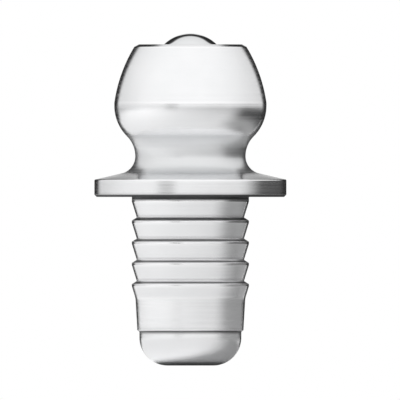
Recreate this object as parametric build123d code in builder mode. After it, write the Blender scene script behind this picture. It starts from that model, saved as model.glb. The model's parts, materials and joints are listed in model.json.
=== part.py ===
from build123d import *
import os
from math import acos, cos, degrees, radians, sin, sqrt, tan

# Drive-fit hydraulic grease nipple, straight pattern.
# A turned steel body is knocked into a plain drilled hole and held there by the
# barbs on its shank. A ball inside the head is pressed up against its seat by a
# coil spring, and the thinned end of the shank is rolled in to keep both in.
#
# The frame: Z is the axis, the origin is where the axis meets the underside of
# the collar, the face that seats on the drilled surface. The head is up.
# Every length is in millimetres and every angle in degrees.

# ---- driving dimensions -------------------------------------------------

# check ball and its seat
ball_diameter = 3.175        # a 1/8 in bearing ball
ball_clearance = 0.1625      # ball to bore, on the radius, where the grease passes
seat_angle = 40.0            # half angle of the conical seat
seat_lip = 0.05              # height of the cone above the ball's line of contact
seat_gap = 0.005             # film of grease between ball and seat
mouth_bevel = 0.05           # edge broken round the mouth, at 45 degrees

# coupler head and neck
head_diameter = 6.5          # the standard hydraulic coupler head
head_land = 0.12             # cylindrical band where the head is widest
face_diameter = 4.66         # flat face that the coupler's seal presses on
face_bevel = 0.12            # its outer edge, broken by a bevel
flank_height = 2.5           # from the widest band up to the flat face
flank_radius = 6.3           # the bulged side of the head
under_radius = 1.85          # the head's rounded underside
waist_radius = 1.2           # hollow under the head, where the coupler's jaws close
neck_wall = 0.605            # thinnest wall, at the waist

# collar
collar_overhang = 1.6        # beyond the barbs, on the radius
collar_thickness = 0.74      # at the rim
collar_slope = 13.0          # its upper side falls away from the neck
collar_fillet = 0.75         # between the neck and the collar
collar_round = 0.06          # upper edge of the rim
collar_bevel = 0.1           # lower edge of the rim, at 45 degrees

# barbed shank
shank_wall = 0.54            # at the bottom of the barbs
barb_depth = 0.21
barb_count = 5
barb_start = 0.1             # plain stretch between the collar and the first crest
barb_pitch = 0.905
barb_land = 0.1              # cylindrical crest of each barb
barb_shoulder = 0.13         # height of the steep side, which resists pulling out

# plain end of the shank
pilot_wall = 0.595           # at its upper end
pilot_length = 1.37
pilot_slope = 3.3
nose_wall = 0.425            # thinned so that it can be rolled in
nose_step = 0.07             # height of the bevel between pilot and nose
nose_length = 1.44
roll_radius = 1.2            # outside of the rolled-in end
lip_land = 0.2               # flat of the lip, inside the roll
lip_round = 0.08             # its broken edges, round the outlet

# check spring
wire_diameter = 0.32
spring_clearance = 0.3       # coils to bore, on the radius
coil_pitch = 1.25            # of the working coils, as fitted
spring_gap = 0.01            # at the ball and at the lip

# ---- the bore and the radii built outward from it ------------------------

ball_r = ball_diameter / 2
bore_r = ball_r + ball_clearance
neck_r = bore_r + neck_wall
root_r = bore_r + shank_wall
crest_r = root_r + barb_depth
collar_r = crest_r + collar_overhang
pilot_r = bore_r + pilot_wall
nose_r = bore_r + nose_wall
head_r = head_diameter / 2
face_r = face_diameter / 2

# ---- heights above the seat of the collar ---------------------------------

# the slope of the collar runs up into the fillet, and the fillet into the waist
slope = radians(collar_slope)
fillet_foot_r = neck_r + collar_fillet * (1 - sin(slope))
waist_z = (
    collar_thickness
    + (collar_r - fillet_foot_r) * tan(slope)
    + collar_fillet * cos(slope)
)

# the hollow waist turns outward by this angle and the underside turns back by it
waist_turn = acos(1 - (head_r - neck_r) / (waist_radius + under_radius))
land_z = waist_z + (waist_radius + under_radius) * sin(waist_turn)
flank_z = land_z + head_land
face_z = flank_z + flank_height

# the seat is a cone that touches the ball round one circle
cone = radians(seat_angle)
mouth_z = face_z - mouth_bevel
contact_z = mouth_z - seat_lip
contact_r = (ball_r + seat_gap) * cos(cone)
mouth_r = contact_r - seat_lip * tan(cone)
ball_z = contact_z - (ball_r + seat_gap) * sin(cone)
cone_foot_z = contact_z - (bore_r - contact_r) / tan(cone)

# ---- depths below it -------------------------------------------------------

barb_tan = barb_depth / (barb_pitch - barb_land - barb_shoulder)
last_land_z = -barb_start - (barb_count - 1) * barb_pitch - barb_land
pilot_z = last_land_z - (crest_r - pilot_r) / barb_tan
step_z = pilot_z - pilot_length
step_r = pilot_r - pilot_length * tan(radians(pilot_slope))
nose_z = step_z - nose_step
end_z = nose_z - nose_length
lip_z = end_z + nose_wall
outlet_r = nose_r - roll_radius - lip_land
roll_inner = roll_radius - nose_wall

# ---- body: one turned piece, its end rolled in ------------------------------

with BuildPart() as nipple_body:
    with BuildSketch(Plane.XZ):
        with BuildLine():
            # inside, from the outlet up to the mouth
            Polyline((outlet_r, end_z), (outlet_r, lip_z), (bore_r - roll_inner, lip_z))
            JernArc((bore_r - roll_inner, lip_z), (1, 0), roll_inner, 90)
            Polyline(
                (bore_r, lip_z + roll_inner),
                (bore_r, cone_foot_z),
                (mouth_r, mouth_z),
                (mouth_r + mouth_bevel, face_z),
                (face_r, face_z),
            )
            # head, from the flat face down to the collar
            RadiusArc((face_r, face_z), (head_r, flank_z), flank_radius)
            band = Line((head_r, flank_z), (head_r, land_z))
            under = JernArc(band @ 1, band % 1, under_radius, -degrees(waist_turn))
            waist = JernArc(under @ 1, under % 1, waist_radius, degrees(waist_turn))
            foot = JernArc(waist @ 1, waist % 1, collar_fillet, 90 - collar_slope)
            Polyline(
                foot @ 1,
                (collar_r, collar_thickness),
                (collar_r, 0),
                (crest_r, 0),
                (crest_r, -barb_start),
            )
            # barbs: a crest, a long ramp towards the hole, then a steep shoulder
            for barb in range(barb_count):
                crest_z = -barb_start - barb * barb_pitch
                Line((crest_r, crest_z), (crest_r, crest_z - barb_land))
                if barb < barb_count - 1:
                    Polyline(
                        (crest_r, crest_z - barb_land),
                        (root_r, crest_z - barb_pitch + barb_shoulder),
                        (crest_r, crest_z - barb_pitch),
                    )
            # pilot, step, and the nose rolled in round the outlet
            Polyline(
                (crest_r, last_land_z),
                (pilot_r, pilot_z),
                (step_r, step_z),
                (nose_r, nose_z),
                (nose_r, end_z + roll_radius),
            )
            roll = JernArc((nose_r, end_z + roll_radius), (0, -1), roll_radius, -90)
            Line(roll @ 1, (outlet_r, end_z))
        make_face()
    revolve(axis=Axis.Z)

    circles = nipple_body.edges().filter_by(GeomType.CIRCLE)
    rim = circles.filter_by(lambda edge: abs(edge.radius - collar_r) < 0.001).sort_by(Axis.Z)
    fillet(rim[-1], collar_round)
    chamfer(rim[0], collar_bevel)
    face_edge = circles.filter_by(lambda edge: abs(edge.radius - face_r) < 0.001)
    chamfer(face_edge, face_bevel)
    lip_edges = circles.filter_by(lambda edge: abs(edge.radius - outlet_r) < 0.001)
    fillet(lip_edges, lip_round)

nipple_body.part.label = "nipple_body"

# ---- check ball ---------------------------------------------------------------

with BuildPart() as check_ball:
    with Locations((0, 0, ball_z)):
        Sphere(ball_r)

check_ball.part.label = "check_ball"

# ---- check spring: a closed coil at each end and open working coils between ----

wire_r = wire_diameter / 2
coil_r = bore_r - spring_clearance - wire_r

# its top coil cradles the ball, its bottom coil rests in the hollow of the roll
top_coil_z = ball_z - sqrt((ball_r + wire_r + spring_gap) ** 2 - coil_r**2)
roll_offset = max(0, coil_r - (bore_r - roll_inner))
roll_reach = sqrt((roll_inner - wire_r) ** 2 - roll_offset**2)
bottom_coil_z = lip_z + roll_inner - roll_reach + spring_gap

closed_pitch = wire_diameter + spring_gap
working_height = top_coil_z - bottom_coil_z - 2 * closed_pitch
working_coils = round(working_height / coil_pitch)

with BuildPart() as check_spring:
    foot_z = bottom_coil_z
    closed_end = (1, closed_pitch)
    for turns, height in (closed_end, (working_coils, working_height), closed_end):
        with BuildLine() as coils:
            Helix(height / turns, height, coil_r, center=(0, 0, foot_z))
        with BuildSketch(Plane.XZ):
            with Locations((coil_r, foot_z)):
                Circle(wire_r)
        sweep(path=coils.line, is_frenet=True)
        foot_z += height

check_spring.part.label = "check_spring"

# ---- output -----------------------------------------------------------------------

os.makedirs("parts", exist_ok=True)
export_step(nipple_body.part, "parts/nipple_body.step")
export_step(check_ball.part, "parts/check_ball.step")
export_step(check_spring.part, "parts/check_spring.step")

print(f"overall height {ball_z + ball_r - end_z:.3f}, collar {2 * collar_r:.3f}")
print(f"barb crests {2 * crest_r:.3f}, barb roots {2 * root_r:.3f}, bore {2 * bore_r:.3f}")
print(f"face at {face_z:.3f}, ball at {ball_z:.3f}, proud by {ball_z + ball_r - face_z:.3f}")
print(f"end at {end_z:.3f}, outlet {2 * outlet_r:.3f}, working coils {working_coils}")
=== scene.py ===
# %% [markdown]
# # A drive-fit grease nipple
#
# A grease nipple is the small metal valve through which a bearing is greased. This one
# has no thread: its barbed shank is knocked into a plain drilled hole. It is only
# 14 mm high and has three pieces, a turned steel body, a ball and a spring.
#
# The construction model already holds the true sizes, so it is loaded first and kept as
# a fixed frame. Everything made here is measured from it, and nothing is moved to fit.
# Its own meshes could be shown as they are, but they are coarse, and bright metal shows
# every facet. So each piece is made again here, finer and in the same form.

# %% Load the frame
import json

import bpy
import numpy as np
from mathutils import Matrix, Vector


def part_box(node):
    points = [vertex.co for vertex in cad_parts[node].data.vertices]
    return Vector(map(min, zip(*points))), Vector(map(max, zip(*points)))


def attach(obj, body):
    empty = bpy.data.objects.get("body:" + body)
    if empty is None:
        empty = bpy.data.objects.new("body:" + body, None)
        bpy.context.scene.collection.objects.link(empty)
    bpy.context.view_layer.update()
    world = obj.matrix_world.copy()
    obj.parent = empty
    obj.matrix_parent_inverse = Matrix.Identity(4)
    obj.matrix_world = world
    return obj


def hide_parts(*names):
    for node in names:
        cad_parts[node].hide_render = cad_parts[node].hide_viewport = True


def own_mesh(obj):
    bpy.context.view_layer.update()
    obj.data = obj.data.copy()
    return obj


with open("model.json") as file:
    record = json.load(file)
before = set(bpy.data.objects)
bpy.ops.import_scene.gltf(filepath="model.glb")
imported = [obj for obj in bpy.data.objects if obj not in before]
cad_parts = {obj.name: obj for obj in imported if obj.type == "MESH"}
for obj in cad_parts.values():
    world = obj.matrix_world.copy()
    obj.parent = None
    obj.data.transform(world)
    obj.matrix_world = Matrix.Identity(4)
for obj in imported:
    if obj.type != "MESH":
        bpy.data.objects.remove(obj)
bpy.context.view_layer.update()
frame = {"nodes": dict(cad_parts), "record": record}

MM = 0.001  # the frame is in metres, and a turner thinks in millimetres

print("nodes:", sorted(frame["nodes"]))

# %% [markdown]
# ## Sizes read from the frame
#
# The mounts of the record say how wide the barbs and the head are and where they sit.
# The boxes of the nodes give the collar, the two ends, the ball and the spring.

# %% Read the sizes
mounts = {mount["name"]: mount for mount in frame["record"]["mounts"]}


def node_box(name):
    """Lowest and highest corner of a node of the frame, in millimetres."""
    low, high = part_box(name)
    return np.array(low) / MM, np.array(high) / MM


body_low, body_high = node_box("nipple_body")
ball_low, ball_high = node_box("check_ball")
spring_low, spring_high = node_box("check_spring")

collar_r = body_high[0]
face_z = body_high[2]
end_z = body_low[2]
ball_r = (ball_high[2] - ball_low[2]) / 2
ball_z = (ball_high[2] + ball_low[2]) / 2

crest_r = mounts["shank"]["dims"]["r_mm"]
barbs_end_z = -mounts["shank"]["dims"]["length_mm"]
head_r = mounts["coupler_head"]["dims"]["r_mm"]
head_land = mounts["coupler_head"]["dims"]["length_mm"]
land_z = mounts["coupler_head"]["pos_m"][2] / MM - head_land / 2

print(f"collar {2 * collar_r:.2f}, barbs {2 * crest_r:.2f}, head {2 * head_r:.2f} mm")

# %% [markdown]
# ## The rest of the turner's drawing
#
# A lathe part is one outline, spun round its axis. These are the sizes that the outline
# still needs. They are the same as in the construction model: a finer mesh may be made
# for the eye, but it has to keep the form.

# %% Sizes of the outline, in mm and degrees
ball_clearance = 0.1625
neck_wall = 0.605
pilot_wall = 0.595
nose_wall = 0.425
bore_r = ball_r + ball_clearance
neck_r = bore_r + neck_wall
pilot_r = bore_r + pilot_wall
nose_r = bore_r + nose_wall

face_r = 2.33
face_bevel = 0.12
flank_radius = 6.3
under_radius = 1.85
waist_radius = 1.2
collar_thickness = 0.74
collar_slope = 13.0
collar_fillet = 0.75
collar_bevel = 0.1

barb_count = 5
barb_depth = 0.21
barb_land = 0.1
barb_shoulder = 0.13
barb_start = 0.1
barb_pitch = (-barbs_end_z - barb_start - barb_land) / (barb_count - 1)
root_r = crest_r - barb_depth

pilot_length = 1.37
pilot_slope = 3.3
nose_step = 0.07
roll_radius = 1.2
lip_land = 0.2

seat_angle = 40.0
seat_lip = 0.05
mouth_bevel = 0.05
seat_gap = 0.005

print(f"bore {2 * bore_r:.2f}, waist {2 * neck_r:.2f}, barb roots {2 * root_r:.2f} mm")

# %% [markdown]
# ## Helpers for outlines
#
# Round stretches are arcs. Every outer corner also has a very small radius, because
# a tool has a nose and plating rounds an edge. That radius is what catches the light
# and makes metal look like metal. A Bevel modifier could round the corners too, but in an
# outline each corner is given its own size by one more number.

# %% Outline helpers
SAME_POINT = 1e-5  # mm, two points nearer than this are one


def turn(degrees):
    """The unit vector (cos a, sin a) for each angle a in degrees."""
    angle = np.radians(degrees)
    return np.stack([np.cos(angle), np.sin(angle)], axis=-1)


def arc(centre, radius, start, stop, steps):
    """Points centre + radius * (cos a, sin a), with a evenly spaced from start to stop."""
    return np.array(centre) + radius * turn(np.linspace(start, stop, steps))


def arc_between(start, stop, radius, steps):
    """The short arc of a given radius from start to stop, bulging to the left of the way.

    Its centre is the middle of the chord, moved to the right by sqrt(R^2 - (c / 2)^2).
    """
    start, stop = np.array(start), np.array(stop)
    chord = stop - start
    length = np.hypot(*chord)
    right = np.array([chord[1], -chord[0]]) / length
    centre = (start + stop) / 2 + right * np.sqrt(radius**2 - (length / 2) ** 2)
    first, last = (np.degrees(np.arctan2(*(p - centre)[::-1])) for p in (start, stop))
    return arc(centre, radius, first, last, steps)


def soften(points, sizes, steps=5):
    """Rounds the corners of a closed outline.

    Each corner P becomes the curve (1-t)^2 A + 2t(1-t) P + t^2 B, where A and B lie on
    its two sides, at that corner's size from it. A size of 0 leaves the corner alone.
    """
    to_last = np.roll(points, 1, axis=0) - points
    to_next = np.roll(points, -1, axis=0) - points
    reach = sizes[:, None]
    before = points + reach * to_last / np.linalg.norm(to_last, axis=1, keepdims=True)
    after = points + reach * to_next / np.linalg.norm(to_next, axis=1, keepdims=True)
    t = np.linspace(0, 1, steps)[None, :, None]
    curve = (1 - t) ** 2 * before[:, None] + t**2 * after[:, None]
    curve = (curve + 2 * t * (1 - t) * points[:, None]).reshape(-1, 2)
    moved = np.linalg.norm(curve - np.roll(curve, 1, axis=0), axis=1)
    return curve[moved > SAME_POINT]


def divide(points, longest):
    """Splits each side of a closed outline into equal parts, none longer than its longest."""
    sides = np.roll(points, -1, axis=0) - points
    parts = np.ceil(np.linalg.norm(sides, axis=1) / longest).astype(int)
    share = np.arange(parts.sum()) - np.repeat(np.cumsum(parts) - parts, parts)
    share = (share / np.repeat(parts, parts))[:, None]
    return np.repeat(points, parts, axis=0) + share * np.repeat(sides, parts, axis=0)


# %% [markdown]
# ## The outline of the body
#
# The way round starts inside the bore and goes up to the ball seat, out over the flat
# face, down the head, waist and collar, down the barbs, and round the rolled-in end
# back into the bore. Solid metal is always on the right of the way.

# %% Radii and heights worked out
roll_inner = roll_radius - nose_wall
outlet_r = nose_r - roll_radius - lip_land
lip_z = end_z + nose_wall

cone = np.radians(seat_angle)
mouth_z = face_z - mouth_bevel
contact_r = (ball_r + seat_gap) * np.cos(cone)
mouth_r = contact_r - seat_lip * np.tan(cone)
cone_foot_z = mouth_z - seat_lip - (bore_r - contact_r) / np.tan(cone)

waist_turn = np.degrees(np.arccos(1 - (head_r - neck_r) / (waist_radius + under_radius)))
waist_z = land_z - (waist_radius + under_radius) * np.sin(np.radians(waist_turn))

ramp = (crest_r - root_r) / (barb_pitch - barb_land - barb_shoulder)
pilot_z = barbs_end_z - (crest_r - pilot_r) / ramp
step_z = pilot_z - pilot_length
step_r = pilot_r - pilot_length * np.tan(np.radians(pilot_slope))
print(f"mouth {2 * mouth_r:.2f}, outlet {2 * outlet_r:.2f}, waist at {waist_z:.2f} mm")

# %% Trace the seat, the head and the collar
# each row is a corner: radius, height, and how far it is rounded
inside = [
    (bore_r, 0, 0),
    (bore_r, cone_foot_z, 0.05),
    (mouth_r, mouth_z, 0.012),
    (mouth_r + mouth_bevel, face_z, 0.015),
    (face_r - face_bevel, face_z, 0.015),
]
ridge_z = land_z + head_land
flank = arc_between((face_r, face_z), (head_r, ridge_z), flank_radius, steps=26)[:-1]
down_flank = (flank[1] - flank[0]) / np.hypot(*(flank[1] - flank[0]))
bevel = [(*(flank[0] + face_bevel * down_flank), 0.015)]
flank = flank[2:]  # its first two points give way to the bevel
ridge = [(head_r, ridge_z, 0.03)]
under = arc((head_r - under_radius, land_z), under_radius, 0, -waist_turn, steps=22)
waist = arc((neck_r + waist_radius, waist_z), waist_radius, 180 - waist_turn, 180, steps=14)
foot = arc((neck_r + collar_fillet, waist_z), collar_fillet, 180, 270 - collar_slope, steps=18)
waist, foot = waist[1:], foot[1:]  # each starts where the arc before it ends
rim = [
    (collar_r, collar_thickness, 0.05),
    (collar_r, collar_bevel, 0.02),
    (collar_r - collar_bevel, 0, 0.02),
    (crest_r, 0, 0),
]
print("head, waist and collar in", sum(map(len, (flank, under, waist, foot, rim))), "corners")

# %% Trace the barbs, the pilot and the rolled-in end
one_barb = np.array([
    (crest_r, 0, 0.02),
    (crest_r, -barb_land, 0.02),
    (root_r, barb_shoulder - barb_pitch, 0.03),
])
barb_tops = -barb_start - barb_pitch * np.arange(barb_count)
barbs = one_barb + barb_tops[:, None, None] * np.array([0, 1, 0])
# the first crest runs up to the collar, and the last ramp down to the pilot
barbs = barbs.reshape(-1, 3)[1:-1]
pilot = [
    (pilot_r, pilot_z, 0.1),
    (step_r, step_z, 0.02),
    (nose_r, step_z - nose_step, 0.02),
]
roll = arc((nose_r - roll_radius, end_z + roll_radius), roll_radius, 0, -90, steps=24)
lip = [(outlet_r, end_z, 0.08), (outlet_r, lip_z, 0.08)]
lip_hollow = arc((bore_r - roll_inner, lip_z + roll_inner), roll_inner, -90, 0, steps=12)
print(barb_count, "barbs in", len(barbs), "corners")

# %% Join the stretches
SPACING = 0.11  # mm between points of the outline, at most
INNER_SPACING = 1.0  # and for straight sides that start within the radius of the bore


def plain(points):
    """Arc points as rows of the same table, with no rounding of their own."""
    return np.column_stack([points, np.zeros(len(points))])


table = np.vstack([
    inside, bevel, plain(flank), ridge, plain(under), plain(waist), plain(foot), rim, barbs,
    pilot, plain(roll), lip, plain(lip_hollow),
])
softened = soften(table[:, :2], table[:, 2])
inner = softened[:, 0] < bore_r + SAME_POINT
outline = divide(softened, np.where(inner, INNER_SPACING, SPACING))
print("outline of", len(table), "corners and", len(outline), "points")

# %% [markdown]
# ## From an outline to a mesh
#
# Every piece here is a grid of points: rows along one parameter, columns round the
# other. One helper turns such a grid into a mesh. It can join the last row to the first,
# as in a ring, or close each end with a single point, as at the poles of a ball.

# %% Mesh helpers


def report(piece):
    """Prints a mesh's triangles and its volume: a sixth of the sum of a . (b x c).

    The volume is only right for a closed mesh, and only positive if it faces outwards.
    """
    mesh = piece.data
    mesh.calc_loop_triangles()
    corners = np.zeros(len(mesh.loop_triangles) * 3, np.int32)
    mesh.loop_triangles.foreach_get("vertices", corners)
    points = np.zeros(len(mesh.vertices) * 3)
    mesh.vertices.foreach_get("co", points)
    a, b, c = (points.reshape(-1, 3) / MM)[corners].reshape(-1, 3, 3).transpose(1, 0, 2)
    volume = (a * np.cross(b, c)).sum() / 6
    print(f"{piece.name}: {len(a)} triangles, {volume:.3f} cubic mm")


def grid_mesh(name, grid, ring=False, poles=()):
    """A closed mesh from a grid of points in mm, shaped (rows, columns, 3).

    Point (i, j) has the number i * columns + j. Each face joins (i, j), (i + 1, j),
    (i + 1, j + 1) and (i, j + 1), and the columns always close. With ring, the rows do
    too. Two poles close the first and the last row with fans of triangles.
    """
    rows, columns = grid.shape[:2]
    number = np.arange(rows * columns).reshape(rows, columns)
    if ring:
        number = np.vstack([number, number[:1]])
    beside = np.roll(number, -1, axis=1)
    quads = np.stack([number[:-1], number[1:], beside[1:], beside[:-1]], axis=-1)
    points = grid.reshape(-1, 3)
    faces = quads.reshape(-1, 4).tolist()
    if len(poles):
        first, last = len(points), len(points) + 1
        points = np.vstack([points, poles])
        faces += [(first, a, b) for a, b in zip(number[0], beside[0])]
        faces += [(last, b, a) for a, b in zip(number[-1], beside[-1])]
    mesh = bpy.data.meshes.new(name)
    mesh.from_pydata((points * MM).tolist(), [], faces)
    mesh.shade_smooth()
    piece = bpy.data.objects.new(name, mesh)
    bpy.context.scene.collection.objects.link(piece)
    report(piece)
    return piece


def paint(piece, name, values):
    """Stores one number for each point of a piece, for its material to read."""
    layer = piece.data.attributes.new(name, "FLOAT", "POINT")
    layer.data.foreach_set("value", np.asarray(values, np.float32).ravel())


# %% [markdown]
# ## Spin the body
#
# Point (i, j) of the body is (r_i cos a_j, r_i sin a_j, z_i). A Screw modifier could spin
# the outline too. Working the points out keeps them in order, row by row, so what is known
# of the outline is easily told to the whole mesh. The normals come from the outline too:
# where two sides meet, the longer side decides, so flat stretches stay flat right up to
# their rounded edges.

# %% The turned body
COLUMNS = 240
around = turn(np.arange(COLUMNS) * 360 / COLUMNS)


def spin(profile):
    """Carries (radius, height) rows round Z, giving (rows, columns, 3)."""
    flat = profile[:, None, :1] * around[None]
    up = np.broadcast_to(profile[:, None, 1:], flat.shape[:2] + (1,))
    return np.concatenate([flat, up], axis=2)


body = grid_mesh("turned_body", spin(outline), ring=True)

along = np.roll(outline, -1, axis=0) - np.roll(outline, 1, axis=0)
across = np.column_stack([-along[:, 1], along[:, 0]])
across /= np.linalg.norm(across, axis=1, keepdims=True)
body.data.normals_split_custom_set_from_vertices(spin(across).reshape(-1, 3).tolist())

# %% [markdown]
# ## What the finish and the painted shade need to know
#
# Plating is thin and dull deep in a corner, where the current of the bath hardly reaches,
# so the corners under the barb shoulders, at the step and under the collar, with its bevel
# and the top of the shank below it, are made rougher, and they are painted dark as well:
# painted shade, for the shade in these corners and under the collar. The hollow under the
# head is made a little rougher and painted a little darker: painted shade in the recess.
# An exposed edge is burnished by everything it touches, so edges are made a little paler
# and smoother, except under the collar, which is never rubbed bright: once driven home,
# it is hidden against the machine. The foot of the shank is rolled in after plating, with
# the ball and the spring in place. It is made rougher and painted much darker: painted
# shade along its bottom edge, where the part stands on the floor. All of these run right
# round the part, so they follow the outline: each point is given its nearness to a shaded
# groove, to an edge, to the shaded hollow under the head and to the shaded foot, and its
# distance along the outline, which is the way the cutting tool went.

# %% Where the finish and the painted shade change
step_lengths = np.linalg.norm(np.diff(outline, axis=0), axis=1)
travel = np.concatenate([[0], np.cumsum(step_lengths)])

STOPS_SHORT = 0.02  # mm, how far inside a bright corner a dull stretch ends
inset, drop = STOPS_SHORT, STOPS_SHORT / 2
# these stretches are painted dark: painted shade under the barb shoulders, under the collar and
# its bevel, and at the step
under_shoulders = [
    ((root_r, top + barb_shoulder), (crest_r - inset, top + drop)) for top in barb_tops[1:]
]
under_collar = [
    ((collar_r - inset, collar_bevel - inset), (collar_r - collar_bevel, 0)),
    ((collar_r - collar_bevel, 0), (crest_r, 0)),
    ((crest_r, 0), (crest_r, -barb_start)),
]
at_step = [((step_r, step_z - drop), (nose_r, step_z - nose_step))]
shaded_grooves = under_shoulders + under_collar + at_step

outer_corners = (table[:, 2] > 0) & (table[:, 0] >= face_r - face_bevel)
under_rim = (table[:, 0] > crest_r) & (table[:, 1] <= collar_bevel)
edges = [(corner, corner) for corner in table[outer_corners & ~under_rim, :2]]


def stretches(points):
    """The stretches between points that follow each other on an arc."""
    return list(zip(points[:-1], points[1:]))


FOOT_SHADE_STEPS = 7  # of the arc of the roll, counted back from its foot
# painted shade: the hollow under the head is painted a little darker, and the rolled-in foot
# much darker along its bottom edge
hollow_shade = stretches(np.vstack([waist, foot]))
foot_shade = stretches(np.vstack([roll[-FOOT_SHADE_STEPS:], [(outlet_r, end_z)]]))
print(f"the tool travels {travel[-1]:.1f} mm along the outline")

# %% Tell the mesh


def nearness(places, reach):
    """exp(-(d / reach)^2), where d is an outline point's distance to the nearest stretch.

    A corner is a stretch of no length, so its squared length is held above zero.
    """
    start, stop = np.array(places).transpose(1, 0, 2)
    way = stop - start
    from_start = outline[:, None] - start[None]
    share = (from_start * way).sum(2) / np.maximum((way**2).sum(1), SAME_POINT**2)
    nearest = from_start - np.clip(share, 0, 1)[..., None] * way
    return np.exp(-((np.linalg.norm(nearest, axis=2).min(1) / reach) ** 2))


# the first, third and fourth layers mark where shade is painted; the second marks the burnished
# edges
# a layer's name, where it lies, and its reach in mm
for layer, places, reach in (
    ("groove_shade", shaded_grooves, 0.035),
    ("edge", edges, 0.05),
    ("hollow_shade", hollow_shade, 0.2),
    ("foot_shade", foot_shade, 0.1),
):
    paint(body, layer, np.repeat(nearness(places, reach), COLUMNS))
    print(f"{layer}: {len(places)} places")
paint(body, "travel", np.repeat(travel, COLUMNS))

# %% [markdown]
# ## The ball
#
# A bearing ball is the truest sphere that money can buy. Blender's own UV sphere would do,
# but the two helpers above already make one, with its place and size straight from the
# frame. Its points are (R cos b cos a, R cos b sin a, z + R sin b), with b from pole to
# pole.

# %% The check ball
CIRCLES = 96  # between the poles
latitude = np.linspace(90, -90, CIRCLES + 2)[1:-1]
circles = ball_r * turn(latitude) + [0, ball_z]
top_and_bottom = np.array([(0, 0, ball_z + ball_r), (0, 0, ball_z - ball_r)])
ball = grid_mesh("polished_ball", spin(circles), poles=top_and_bottom)

# %% [markdown]
# ## The spring
#
# The wire is wound with a closed coil at each end, where the pitch is only the wire's
# own thickness, and open coils between. A Screw modifier winds a spring too, but with one
# pitch all the way. Here the pitch is a smooth function of the angle, the height is its
# running sum, and a circle of wire is carried along that path.

# %% Sizes of the spring, in mm and coils
wire_r = 0.16
spring_clearance = 0.3
coil_gap = 0.01
coil_r = bore_r - spring_clearance - wire_r
closed_pitch = 2 * wire_r + coil_gap
working_coils = 8
coils = working_coils + 2
closed_end = 0.85  # coils at each end before the pitch opens
opens_over = 0.3  # coils that it takes to open
print(f"wire {2 * wire_r:.2f} mm, {working_coils} working coils, {2 * coil_r:.2f} mm across")

# %% The check spring
ROWS_PER_COIL = 60
WIRE_COLUMNS = 24


def rise(t, start, stop):
    """Goes smoothly from 0 at start to 1 at stop, as 3s^2 - 2s^3."""
    s = np.clip((t - start) / (stop - start), 0, 1)
    return s * s * (3 - 2 * s)


coil = np.linspace(0, coils, coils * ROWS_PER_COIL + 1)
opening = rise(np.minimum(coil, coils - coil), closed_end, closed_end + opens_over)
opened = np.cumsum(opening) - opening[0]
low_end, high_end = spring_low[2] + wire_r, spring_high[2] - wire_r
spread = (high_end - low_end - coils * closed_pitch) / opened[-1]
height = low_end + closed_pitch * coil + spread * opened

centre_line = np.column_stack([coil_r * turn(coil * 360), height])
forward = np.gradient(centre_line, axis=0)
forward /= np.linalg.norm(forward, axis=1, keepdims=True)
outward = np.column_stack([turn(coil * 360), np.zeros_like(coil)])
upward = np.cross(outward, forward)
section = wire_r * turn(np.arange(WIRE_COLUMNS) * 360 / WIRE_COLUMNS)[None]
wire = section[..., :1] * outward[:, None] + section[..., 1:] * upward[:, None]
spring = grid_mesh("coil_spring", centre_line[:, None] + wire, poles=centre_line[[0, -1]])
wire_side = np.arange(WIRE_COLUMNS) / WIRE_COLUMNS
paint(spring, "side", np.append(np.tile(wire_side, len(coil)), [0, 0]))

# %% [markdown]
# ## Colour and nodes
#
# Colours are written as the hex values that a screen shows, and turned to the linear
# values that light works in. One small function adds any node.

# %% Material helpers


def linear(hex_colour):
    """sRGB hex to linear: c / 12.92 near black, else ((c + 0.055) / 1.055)^2.4."""
    c = np.array([int(hex_colour[i : i + 2], 16) / 255 for i in (1, 3, 5)])
    c = np.where(c <= 0.04045, c / 12.92, ((c + 0.055) / 1.055) ** 2.4)
    return (*c.tolist(), 1.0)


def in_use(sockets, key):
    """The socket of that name or number, among those that the node's settings leave in use."""
    sockets = [socket for socket in sockets if socket.enabled]
    if isinstance(key, int):
        return sockets[key]
    return next(socket for socket in sockets if socket.name == key)


def add(tree, kind, inputs=None, give=0, **settings):
    """Adds a node, and gives the output that is asked for.

    An input is a number, a colour, or an output of another node, which is linked to it.
    """
    node = tree.nodes.new(kind)
    for name, value in settings.items():
        setattr(node, name, value)
    for key, value in (inputs or {}).items():
        if isinstance(value, bpy.types.NodeSocket):
            tree.links.new(value, in_use(node.inputs, key))
        else:
            in_use(node.inputs, key).default_value = value
    return in_use(node.outputs, give) if node.outputs else node


def new_tree(name):
    """A new node material with nothing in it, and its tree."""
    material = bpy.data.materials.new(name)
    material.use_nodes = True
    material.node_tree.nodes.clear()
    return material, material.node_tree


# %% [markdown]
# ## Bright zinc plate on turned steel
#
# The body is turned from free-cutting steel bar and plated with bright zinc. The plate
# is pale and slightly blue, and it softens the tool marks without hiding them. A turned
# surface is smooth along the marks and rough across them, so a reflection is drawn out
# up and down: that is what the anisotropy is for. An image of brushed metal could be
# wrapped round the part, but it would stretch over the head and meet itself in a seam.
# Noise that runs along the outline does neither.

# %% Zinc plate
FEED = 0.14  # mm from one tool mark to the next; half that on the real part
MARK_DEPTH = 0.0015  # mm
CLOUD = 1.4  # mm, the size of the faint clouds that a plating bath leaves

zinc, tree = new_tree("bright_zinc_on_turned_steel")
place = add(tree, "ShaderNodeTexCoord", give="Object")
groove_shade, edge, hollow_shade_fac, foot_shade_fac, tool = (
    add(tree, "ShaderNodeAttribute", give="Fac", attribute_name=layer)
    for layer in ("groove_shade", "edge", "hollow_shade", "foot_shade", "travel")
)
marks = add(tree, "ShaderNodeTexNoise", {"W": tool, "Scale": 1 / FEED, "Detail": 3.0},
            noise_dimensions="1D")
cloud = add(tree, "ShaderNodeTexNoise",
            {"Vector": place, "Scale": 1 / (CLOUD * MM), "Detail": 4.0})

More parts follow.
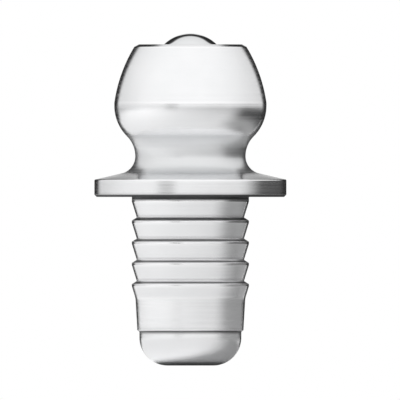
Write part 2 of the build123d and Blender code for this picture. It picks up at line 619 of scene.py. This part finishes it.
colour = add(tree, "ShaderNodeMix",
             {"Factor": cloud, "A": linear("#EAEBEC"), "B": linear("#F4F4F5")},
             data_type="RGBA")
rough = add(tree, "ShaderNodeMapRange",
            {"Value": marks, "From Min": 0.3, "From Max": 0.7, "To Min": 0.16, "To Max": 0.26})

# each layer turns the plate this colour, and adds this to its roughness; the first three
# darken it as painted shade, in the hollow, on the foot and in the grooves, and the last
# pales the burnished edges
for share, tone, added in (
    (hollow_shade_fac, "#E2E3E4", 0.12),
    (foot_shade_fac, "#9A9B9C", 0.2),
    (groove_shade, "#4A4B4C", 0.3),
    (edge, "#F6F6F7", -0.06),
):
    colour = add(tree, "ShaderNodeMix", {"Factor": share, "A": colour, "B": linear(tone)},
                 data_type="RGBA")
    rough = add(tree, "ShaderNodeMath", {0: share, 1: added, 2: rough},
                operation="MULTIPLY_ADD")

relief = add(tree, "ShaderNodeBump", {"Height": marks, "Distance": MARK_DEPTH * MM})
lathe_way = add(tree, "ShaderNodeTangent", direction_type="RADIAL", axis="Z")
shader = add(tree, "ShaderNodeBsdfPrincipled", {
    "Base Color": colour, "Metallic": 1.0, "Roughness": rough, "Anisotropic": 0.5,
    "Anisotropic Rotation": 0.25, "Tangent": lathe_way, "Normal": relief,
})
add(tree, "ShaderNodeOutputMaterial", {"Surface": shader})
print(zinc.name, "has", len(tree.nodes), "nodes")

# %% [markdown]
# ## Lapped bearing steel
#
# The ball is hardened, ground and lapped until it is close to a mirror. It mirrors the
# most sharply of the three metals, and bare steel is a little darker than the plate. A
# perfect mirror would look drawn, so a faint haze makes its roughness uneven.

# %% Bearing steel
HAZE = 0.5  # mm, the size of the patches of haze
bearing_steel, tree = new_tree("lapped_bearing_steel")
place = add(tree, "ShaderNodeTexCoord", give="Object")
haze = add(tree, "ShaderNodeTexNoise",
           {"Vector": place, "Scale": 1 / (HAZE * MM), "Detail": 5.0})
rough = add(tree, "ShaderNodeMapRange",
            {"Value": haze, "From Min": 0.35, "From Max": 0.65, "To Min": 0.05, "To Max": 0.12})
shader = add(tree, "ShaderNodeBsdfPrincipled",
             {"Base Color": linear("#E4E5E6"), "Metallic": 1.0, "Roughness": rough})
add(tree, "ShaderNodeOutputMaterial", {"Surface": shader})
print(bearing_steel.name, "has", len(tree.nodes), "nodes")

# %% [markdown]
# ## Drawn spring wire
#
# Spring wire is pulled through a die, which leaves fine lines along it, and it keeps a
# thin film of oil. It is greyer and duller than the plated body. Object coordinates would
# cut straight through the coils, so the lines follow the layer that counts round the wire.

# %% Spring wire
DIE_LINES = 40  # round the wire
spring_wire, tree = new_tree("drawn_spring_wire")
side = add(tree, "ShaderNodeAttribute", give="Fac", attribute_name="side")
lines = add(tree, "ShaderNodeTexNoise", {"W": side, "Scale": DIE_LINES, "Detail": 2.0},
            noise_dimensions="1D")
colour = add(tree, "ShaderNodeMix",
             {"Factor": lines, "A": linear("#8F8E8B"), "B": linear("#B9B8B5")},
             data_type="RGBA")
shader = add(tree, "ShaderNodeBsdfPrincipled",
             {"Base Color": colour, "Metallic": 1.0, "Roughness": 0.32})
add(tree, "ShaderNodeOutputMaterial", {"Surface": shader})
print(spring_wire.name, "has", len(tree.nodes), "nodes")

# %% [markdown]
# ## Dress the frame
#
# Each piece takes its material, rides on the body that carries it, and stands for the
# plain node that it replaces. The spring is held at its foot, on the body.

# %% Put the pieces on the frame
DRESSING = (
    (body, "nipple_body", "fitting", zinc, "plated_steel"),
    (ball, "check_ball", "ball", bearing_steel, "ball_steel"),
    (spring, "check_spring", "fitting", spring_wire, "spring_wire"),
)
for piece, node, carrier, material, slot in DRESSING:
    piece.data.materials.append(material)
    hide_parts(node)
    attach(piece, carrier)

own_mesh(spring)

# %% [markdown]
# ## The floor
#
# The part stands on white paper. Paper lit by a lamp never comes out quite white, and more
# light would bleach the part. So some of it glows instead, for the camera and a little for
# the metal. The rest is ordinary paper, and it keeps the shadow of the part.

# %% Floor
FLOOR_SIZE = 400  # mm
GLOW_SEEN = 0.6  # share of the glow for the camera
GLOW_MIRRORED = 0.05  # and for the metal, which also has to mirror the part's own shadow

paper, tree = new_tree("matt_white_paper")
kinds = ("Is Camera Ray", "Is Glossy Ray", "Is Transmission Ray")
camera_ray, glossy, through = (add(tree, "ShaderNodeLightPath", give=kind) for kind in kinds)
mirrored = add(tree, "ShaderNodeMath", {0: glossy, 1: through}, operation="MAXIMUM")
share = add(tree, "ShaderNodeMath", {0: mirrored, 1: GLOW_MIRRORED}, operation="MULTIPLY")
share = add(tree, "ShaderNodeMath", {0: camera_ray, 1: GLOW_SEEN, 2: share},
            operation="MULTIPLY_ADD")
lit = add(tree, "ShaderNodeBsdfDiffuse", {"Color": linear("#F8F8F8")})
white = add(tree, "ShaderNodeEmission", {"Color": linear("#FFFFFF")})
shader = add(tree, "ShaderNodeMixShader", {"Fac": share, 1: lit, 2: white})
add(tree, "ShaderNodeOutputMaterial", {"Surface": shader})


def sheet_of(name, grid, material):
    """An open sheet of the studio, from a grid of points in mm, shaped (rows, columns, 3)."""
    rows, columns = grid.shape[:2]
    number = np.arange(rows * columns).reshape(rows, columns)
    quads = np.stack([number[:-1, :-1], number[1:, :-1], number[1:, 1:], number[:-1, 1:]], -1)
    mesh = bpy.data.meshes.new(name)
    mesh.from_pydata((grid.reshape(-1, 3) * MM).tolist(), [], quads.reshape(-1, 4).tolist())
    mesh.materials.append(material)
    made = bpy.data.objects.new(name, mesh)
    bpy.context.scene.collection.objects.link(made)
    return made


half = np.array([-FLOOR_SIZE / 2, FLOOR_SIZE / 2])
paper_x, paper_y = np.meshgrid(half, half)
sheet_of("floor", np.dstack([paper_x, paper_y, np.full((2, 2), end_z)]), paper)
print(f"floor of {FLOOR_SIZE} mm at z = {end_z:.3f}")

# %% [markdown]
# ## The world
#
# Bright metal has no colour of its own to show: it shows the room. So the room is a white
# tent, a little brighter up at the front. An image of a studio could be used instead, but
# a tent of one smooth slope is easier to steer and needs no file. What it adds as plain
# light is weaker than what metal sees, so that the floor keeps a shadow.

# %% White tent
BRIGHT_WAY = (-0.1, -0.75, 0.65)
TENT_GLOW = (0.72, 1.1)  # as metal sees it, from the far side to the bright side
TENT_LIGHT = 0.3

world = bpy.data.worlds.new("white_tent")
bpy.context.scene.world = world
world.use_nodes = True
tree = world.node_tree
tree.nodes.clear()
way = add(tree, "ShaderNodeTexCoord", give="Generated")
facing = add(tree, "ShaderNodeVectorMath", {0: way, 1: BRIGHT_WAY}, give="Value",
             operation="DOT_PRODUCT")
glow = add(tree, "ShaderNodeMapRange",
           {"Value": facing, "From Min": -1.0, "From Max": 1.0,
            "To Min": TENT_GLOW[0], "To Max": TENT_GLOW[1]},
           interpolation_type="SMOOTHSTEP")
camera_ray, glossy, through = (add(tree, "ShaderNodeLightPath", give=kind) for kind in kinds)
mirrored = add(tree, "ShaderNodeMath", {0: glossy, 1: through}, operation="MAXIMUM")
strength = add(tree, "ShaderNodeMix", {"Factor": mirrored, "A": TENT_LIGHT, "B": glow},
               data_type="FLOAT")
strength = add(tree, "ShaderNodeMix", {"Factor": camera_ray, "A": strength, "B": 1.0},
               data_type="FLOAT")
tent = add(tree, "ShaderNodeBackground", {"Color": linear("#FFFFFF"), "Strength": strength})
add(tree, "ShaderNodeOutputWorld", {"Surface": tent})
print(world.name, "glows from", *TENT_GLOW, "and lights with", TENT_LIGHT)

# %% [markdown]
# ## The lamp
#
# One large soft box stands up at the left. It throws the part's own soft shadow on the
# paper at the right, and the underside of the head mirrors that shadow. Metal doesn't
# mirror the box itself, because the tent is already white there.

# %% Soft box


def soft_box(name, place, size, radiance):
    """A square lamp at a place in mm, turned towards the part.

    A lamp of radiance L and side s gives out pi L s^2 watts.
    """
    lamp = bpy.data.lights.new(name, "AREA")
    lamp.size = size * MM
    lamp.energy = np.pi * radiance * lamp.size**2
    holder = bpy.data.objects.new(name, lamp)
    holder.location = Vector(place) * MM
    holder.rotation_euler = Vector(place).to_track_quat("Z", "Y").to_euler()
    bpy.context.scene.collection.objects.link(holder)
    return holder


KEY_PLACE = (-80, -20, 100)  # mm
KEY_SIZE = 60  # mm
KEY_RADIANCE = 13.0
key = soft_box("key", KEY_PLACE, KEY_SIZE, KEY_RADIANCE)
key.visible_glossy = False
print("soft box at", [round(c / MM) for c in key.location], "mm")

# %% [markdown]
# ## Black backdrops
#
# In an all-white room bright metal would vanish. In a studio, black card is stood round
# the set, out of sight, and the metal draws its own edges with it. Dark patches could be
# painted on the metal instead, but they would stay put when the part is turned, and a
# reflection doesn't. Here there are four cards, all plain and all standing clear of the
# part. A curved one behind, open in its middle, draws the outline. One on the floor in
# front of that draws the lower edges, a low one at the right shades what faces down and
# to the right, and a small one at the left, level with the collar, draws a streak on its
# rim. Most of their edges fade out, because a hard edge would draw a hard line in the
# metal.

# %% Card of any darkness
black_card, tree = new_tree("matt_black_card")
shade = add(tree, "ShaderNodeAttribute", give="Fac", attribute_name="shade")
clear = add(tree, "ShaderNodeBsdfTransparent")
dark = add(tree, "ShaderNodeEmission", {"Color": linear("#303030")})
shader = add(tree, "ShaderNodeMixShader", {"Fac": shade, 1: clear, 2: dark})
add(tree, "ShaderNodeOutputMaterial", {"Surface": shader})
print(black_card.name, "has", len(tree.nodes), "nodes")

# %% Backdrop helpers
CARD_STEPS = 61
DENSE = 0.95  # how dark the middle is of the card on the floor, and of the small one
FAR = 60  # mm from the part to the far backdrops
LIFT = 0.01  # mm between the floor and a card that lies on it
u, v = np.meshgrid(np.linspace(0, 1, CARD_STEPS), np.linspace(0, 1, CARD_STEPS))


def within(t, share):
    """Rises from 0 to 1 over this share of t at each of its ends, 0 and 1."""
    return rise(0.5 - abs(t - 0.5), 0, share)


def upright(radius, azimuth, height):
    """Points at a radius, an azimuth in degrees from the front to the right, and a height."""
    angle = np.radians(azimuth)
    return np.dstack([radius * np.sin(angle), -radius * np.cos(angle), height])


def dome_patch(azimuth, elevation):
    """Points of a dome of radius FAR: (cos e sin a, -cos e cos a, sin e), in degrees."""
    lift = np.radians(elevation)
    return upright(FAR * np.cos(lift), azimuth, FAR * np.sin(lift))


def backdrop(name, grid, density):
    """A card that only metal sees, so that it hides nothing and shades no floor."""
    made = sheet_of(name, grid, black_card)
    paint(made, "shade", density)
    made.visible_camera = False
    made.visible_diffuse = False
    made.visible_shadow = False
    print(f"{name}: {np.hypot(grid[..., 0], grid[..., 1]).min():.1f} mm from the axis")


# %% The curved backdrop behind
BACK_SIDE, BACK_LOW, BACK_HIGH = 45, -12, 54  # degrees to each side, and from low to high
FADE_SIDE, FADE_HIGH = (33, BACK_SIDE), (44, BACK_HIGH)  # where it fades out
OPEN_SIDE, OPEN_HIGH = (5, 8), (24, 30)  # where its open middle ends

from_back = -BACK_SIDE + 2 * BACK_SIDE * u
elevation = BACK_LOW + (BACK_HIGH - BACK_LOW) * v
faded = (1 - rise(abs(from_back), *FADE_SIDE)) * (1 - rise(elevation, *FADE_HIGH))
middle = (1 - rise(abs(from_back), *OPEN_SIDE)) * (1 - rise(elevation, *OPEN_HIGH))
backdrop("backdrop_behind", dome_patch(180 - from_back, elevation), (1 - middle) * faded)

# %% The backdrop on the floor, which widens towards the back
FLOOR_NEAR, FLOOR_FAR = 6, 70  # mm behind the axis
HALF_WIDTH, WIDENING = 2.3, 0.6  # mm at the axis, and mm for each mm behind it

card_y = FLOOR_NEAR + (FLOOR_FAR - FLOOR_NEAR) * v
card_x = (2 * u - 1) * (HALF_WIDTH + WIDENING * card_y)
backdrop("backdrop_floor", np.dstack([card_x, card_y, np.full_like(u, end_z + LIFT)]),
         DENSE * rise(1 - v, 0, 0.3) * within(u, 0.08))

# %% The low backdrop at the right, bent up from the floor like an L
SIDE_NEAR, SIDE_FAR = 9.0, 17.0  # mm from the axis
SIDE_TOP = 4.0  # mm above the collar's seat
SIDE_START, SIDE_STOP = 35, 140  # degrees, from end to end of its near edge
SIDE_SKEW = 22  # degrees, how much later its top starts
SIDE_PALE, SIDE_DENSE = 0.5, 0.93  # how dark its lower and its upper part are

lying, standing = SIDE_FAR - SIDE_NEAR, SIDE_TOP - end_z
along_card = v * (lying + standing)
start_azimuth = SIDE_START + SIDE_SKEW * v
density = SIDE_PALE + (SIDE_DENSE - SIDE_PALE) * rise(v, 0.5, 0.8)
backdrop("backdrop_right",
         upright(SIDE_NEAR + np.minimum(along_card, lying),
                 start_azimuth + (SIDE_STOP - start_azimuth) * u,
                 end_z + LIFT + np.maximum(along_card - lying, 0)),
         density * rise(u, 0, 0.4) * rise(v, 0, 0.25) * rise(1 - v, 0, 0.1))

# %% The small backdrop at the left
LEFT_START, LEFT_SPAN = -44, 32  # degrees of azimuth
LEFT_LOW, LEFT_HEIGHT = -3, 6  # and of elevation
backdrop("backdrop_left",
         dome_patch(LEFT_START + LEFT_SPAN * u, LEFT_LOW + LEFT_HEIGHT * v),
         DENSE * within(u, 0.45) * within(v, 0.25))

# %% [markdown]
# ## The camera
#
# The part is looked at square from the front, with no perspective, as in a drawing of it.
# A very long lens would look much the same, but this keeps every height and width to scale.

# %% Camera
SIGHT_X, SIGHT_Z = 0.41, -0.13  # mm, what the middle of the picture looks at
CAMERA_BACK = 60  # mm in front of the part, where nothing is in the way
VIEW_WIDTH = 17.08  # mm
camera = bpy.data.cameras.new("camera")
camera.type = "ORTHO"
camera.ortho_scale = VIEW_WIDTH * MM
camera.clip_start, camera.clip_end = 1 * MM, 1000 * MM
viewer = bpy.data.objects.new("camera", camera)
viewer.location = np.array((SIGHT_X, -CAMERA_BACK, SIGHT_Z)) * MM
viewer.rotation_euler = (np.pi / 2, 0, 0)
bpy.context.scene.collection.objects.link(viewer)
bpy.context.scene.camera = viewer
bpy.context.scene.view_settings.view_transform = "Standard"
print(f"the picture is {VIEW_WIDTH} mm wide")
